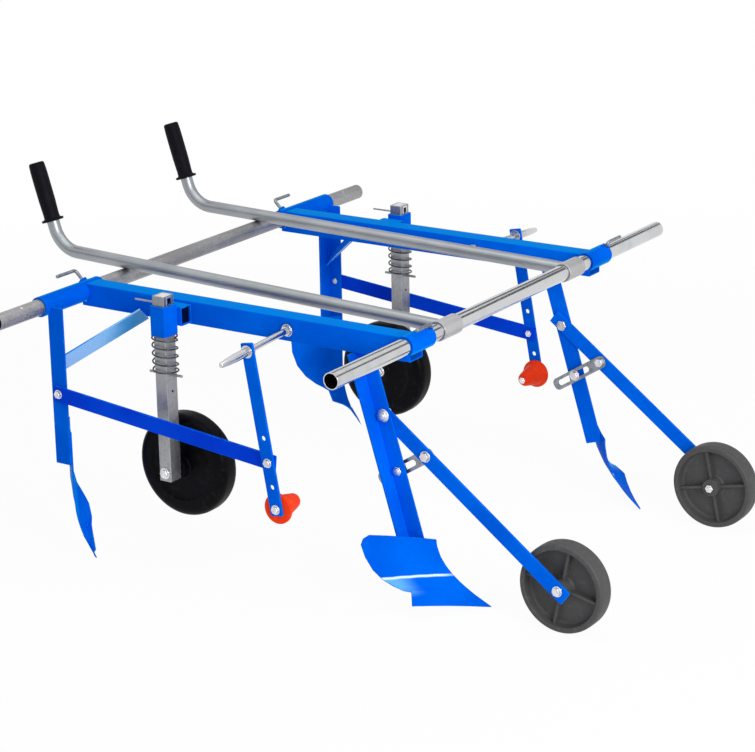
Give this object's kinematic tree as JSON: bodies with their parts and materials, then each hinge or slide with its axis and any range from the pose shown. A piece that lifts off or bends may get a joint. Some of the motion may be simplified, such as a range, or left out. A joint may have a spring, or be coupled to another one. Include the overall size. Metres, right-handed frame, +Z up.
{
  "type": "mulch film layer",
  "caption": "Hand-pushed plastic mulch film layer: sliding side frames with furrow ploughs, gauge wheels, film cones, sprung press wheels and covering ploughs.",
  "frame": {"origin": "on the floor under the middle of the machine's length and width", "axes": "+X forward, from the handles to the gauge wheels; +Y to the operator's left; +Z up"},
  "size_m": [1.3489, 1.2, 0.7006],
  "materials": {
    "blue_paint": "glossy bright blue enamel over welded steel",
    "chrome": "bright plated steel",
    "grey_tube": "satin grey galvanised tube",
    "zinc": "zinc-plated fasteners and plates",
    "black_grip": "matte black moulded grip",
    "black_wheel": "black moulded plastic, slightly glossy",
    "grey_wheel": "dark grey moulded plastic",
    "orange_cone": "orange-red moulded plastic"
  },
  "bodies": {
    "frame": {"front_cross_tube": "chrome", "rear_cross_tube": "grey_tube", "handle_sleeve_r": "grey_tube", "handle_r": "grey_tube", "grip_r": "black_grip", "handle_sleeve_l": "grey_tube", "handle_l": "grey_tube", "grip_l": "black_grip"},
    "right_side": {"rail_r": "blue_paint", "front_sleeve_r": "blue_paint", "rear_sleeve_r": "blue_paint", "press_socket_r": "blue_paint", "socket_spacer_r": "blue_paint", "front_post_r": "blue_paint", "rear_post_r": "blue_paint", "brace_r": "blue_paint", "link_bar_r": "blue_paint", "film_arm_r": "blue_paint", "film_rod_r": "chrome", "cone_bolt_r": "zinc", "front_plough_r": "blue_paint", "rear_plough_r": "blue_paint"},
    "right_press": {"press_post_r": "grey_tube", "press_axle_r": "zinc", "press_spring_r": "zinc"},
    "right_press_wheel": {"press_wheel_r": "black_wheel"},
    "right_front_arm": {"front_arm_r": "blue_paint", "front_axle_r": "zinc"},
    "right_slotted_plate": {"slotted_plate_r": "zinc"},
    "right_front_wheel": {"front_wheel_r": "grey_wheel"},
    "right_film_cone": {"film_cone_r": "orange_cone"},
    "right_front_clamp": {"front_clamp_screw_r": "zinc"},
    "right_rear_clamp": {"rear_clamp_screw_r": "zinc"},
    "left_side": {"rail_l": "blue_paint", "front_sleeve_l": "blue_paint", "rear_sleeve_l": "blue_paint", "press_socket_l": "blue_paint", "socket_spacer_l": "blue_paint", "front_post_l": "blue_paint", "rear_post_l": "blue_paint", "brace_l": "blue_paint", "link_bar_l": "blue_paint", "film_arm_l": "blue_paint", "film_rod_l": "chrome", "cone_bolt_l": "zinc", "front_plough_l": "blue_paint", "rear_plough_l": "blue_paint"},
    "left_press": {"press_post_l": "grey_tube", "press_axle_l": "zinc", "press_spring_l": "zinc"},
    "left_press_wheel": {"press_wheel_l": "black_wheel"},
    "left_front_arm": {"front_arm_l": "blue_paint", "front_axle_l": "zinc"},
    "left_slotted_plate": {"slotted_plate_l": "zinc"},
    "left_front_wheel": {"front_wheel_l": "grey_wheel"},
    "left_film_cone": {"film_cone_l": "orange_cone"},
    "left_front_clamp": {"front_clamp_screw_l": "zinc"},
    "left_rear_clamp": {"rear_clamp_screw_l": "zinc"}
  },
  "joints": [
    {"name": "right_side_slide", "type": "slide", "parent": "frame", "child": "right_side", "axis": [0, -1, 0], "range_m": [-0.03, 0.11]},
    {"name": "right_press_slide", "type": "slide", "parent": "right_side", "child": "right_press", "axis": [0, 0, 1], "range_m": [0, 0.04], "stiffness_N_per_m": 1500, "springref_m": -0.04, "deforming": ["press_spring_r"]},
    {"name": "right_press_wheel_spin", "type": "hinge", "parent": "right_press", "child": "right_press_wheel", "pos_m": [-0.20208, -0.3487, 0.187], "axis": [0, 1, 0], "continuous": true},
    {"name": "right_front_arm_swing", "type": "hinge", "parent": "right_side", "child": "right_front_arm", "pos_m": [0.23602, -0.3302, 0.35197], "axis": [0, -1, 0], "range_deg": [-10, 20]},
    {"name": "right_slotted_plate_swing", "type": "hinge", "parent": "right_front_arm", "child": "right_slotted_plate", "pos_m": [0.32246, -0.3254, 0.28723], "axis": [0, -1, 0], "range_deg": [-8.9, 4.45]},
    {"name": "right_front_wheel_spin", "type": "hinge", "parent": "right_front_arm", "child": "right_front_wheel", "pos_m": [0.59379, -0.3034, 0.084], "axis": [0, 1, 0], "continuous": true},
    {"name": "right_film_cone_spin", "type": "hinge", "parent": "right_side", "child": "right_film_cone", "pos_m": [0.09332, -0.4723, 0.1885], "axis": [0, 1, 0], "continuous": true},
    {"name": "right_front_clamp_turn", "type": "hinge", "parent": "right_side", "child": "right_front_clamp", "pos_m": [0.31282, -0.305, 0.51368], "axis": [0.5, 0, 0.866], "range_deg": [-120, 120]},
    {"name": "right_rear_clamp_turn", "type": "hinge", "parent": "right_side", "child": "right_rear_clamp", "pos_m": [-0.45125, -0.331, 0.50417], "axis": [-0.7071, 0, 0.7071], "range_deg": [-120, 120]},
    {"name": "left_side_slide", "type": "slide", "parent": "frame", "child": "left_side", "axis": [0, 1, 0], "range_m": [-0.03, 0.11]},
    {"name": "left_press_slide", "type": "slide", "parent": "left_side", "child": "left_press", "axis": [0, 0, 1], "range_m": [0, 0.04], "stiffness_N_per_m": 1500, "springref_m": -0.04, "deforming": ["press_spring_l"]},
    {"name": "left_press_wheel_spin", "type": "hinge", "parent": "left_press", "child": "left_press_wheel", "pos_m": [-0.20208, 0.3487, 0.187], "axis": [0, 1, 0], "continuous": true},
    {"name": "left_front_arm_swing", "type": "hinge", "parent": "left_side", "child": "left_front_arm", "pos_m": [0.23602, 0.3302, 0.35197], "axis": [0, -1, 0], "range_deg": [-10, 20]},
    {"name": "left_slotted_plate_swing", "type": "hinge", "parent": "left_front_arm", "child": "left_slotted_plate", "pos_m": [0.32246, 0.3254, 0.28723], "axis": [0, -1, 0], "range_deg": [-8.9, 4.45]},
    {"name": "left_front_wheel_spin", "type": "hinge", "parent": "left_front_arm", "child": "left_front_wheel", "pos_m": [0.59379, 0.3034, 0.084], "axis": [0, 1, 0], "continuous": true},
    {"name": "left_film_cone_spin", "type": "hinge", "parent": "left_side", "child": "left_film_cone", "pos_m": [0.09332, 0.4723, 0.1885], "axis": [0, 1, 0], "continuous": true},
    {"name": "left_front_clamp_turn", "type": "hinge", "parent": "left_side", "child": "left_front_clamp", "pos_m": [0.31282, 0.357, 0.51368], "axis": [0.5, 0, 0.866], "range_deg": [-120, 120]},
    {"name": "left_rear_clamp_turn", "type": "hinge", "parent": "left_side", "child": "left_rear_clamp", "pos_m": [-0.45125, 0.331, 0.50417], "axis": [-0.7071, 0, 0.7071], "range_deg": [-120, 120]}
  ],
  "couplings": [
    {"joint": "right_slotted_plate_swing", "follows": "right_front_arm_swing", "ratio": -0.445},
    {"joint": "left_slotted_plate_swing", "follows": "left_front_arm_swing", "ratio": -0.445}
  ]
}
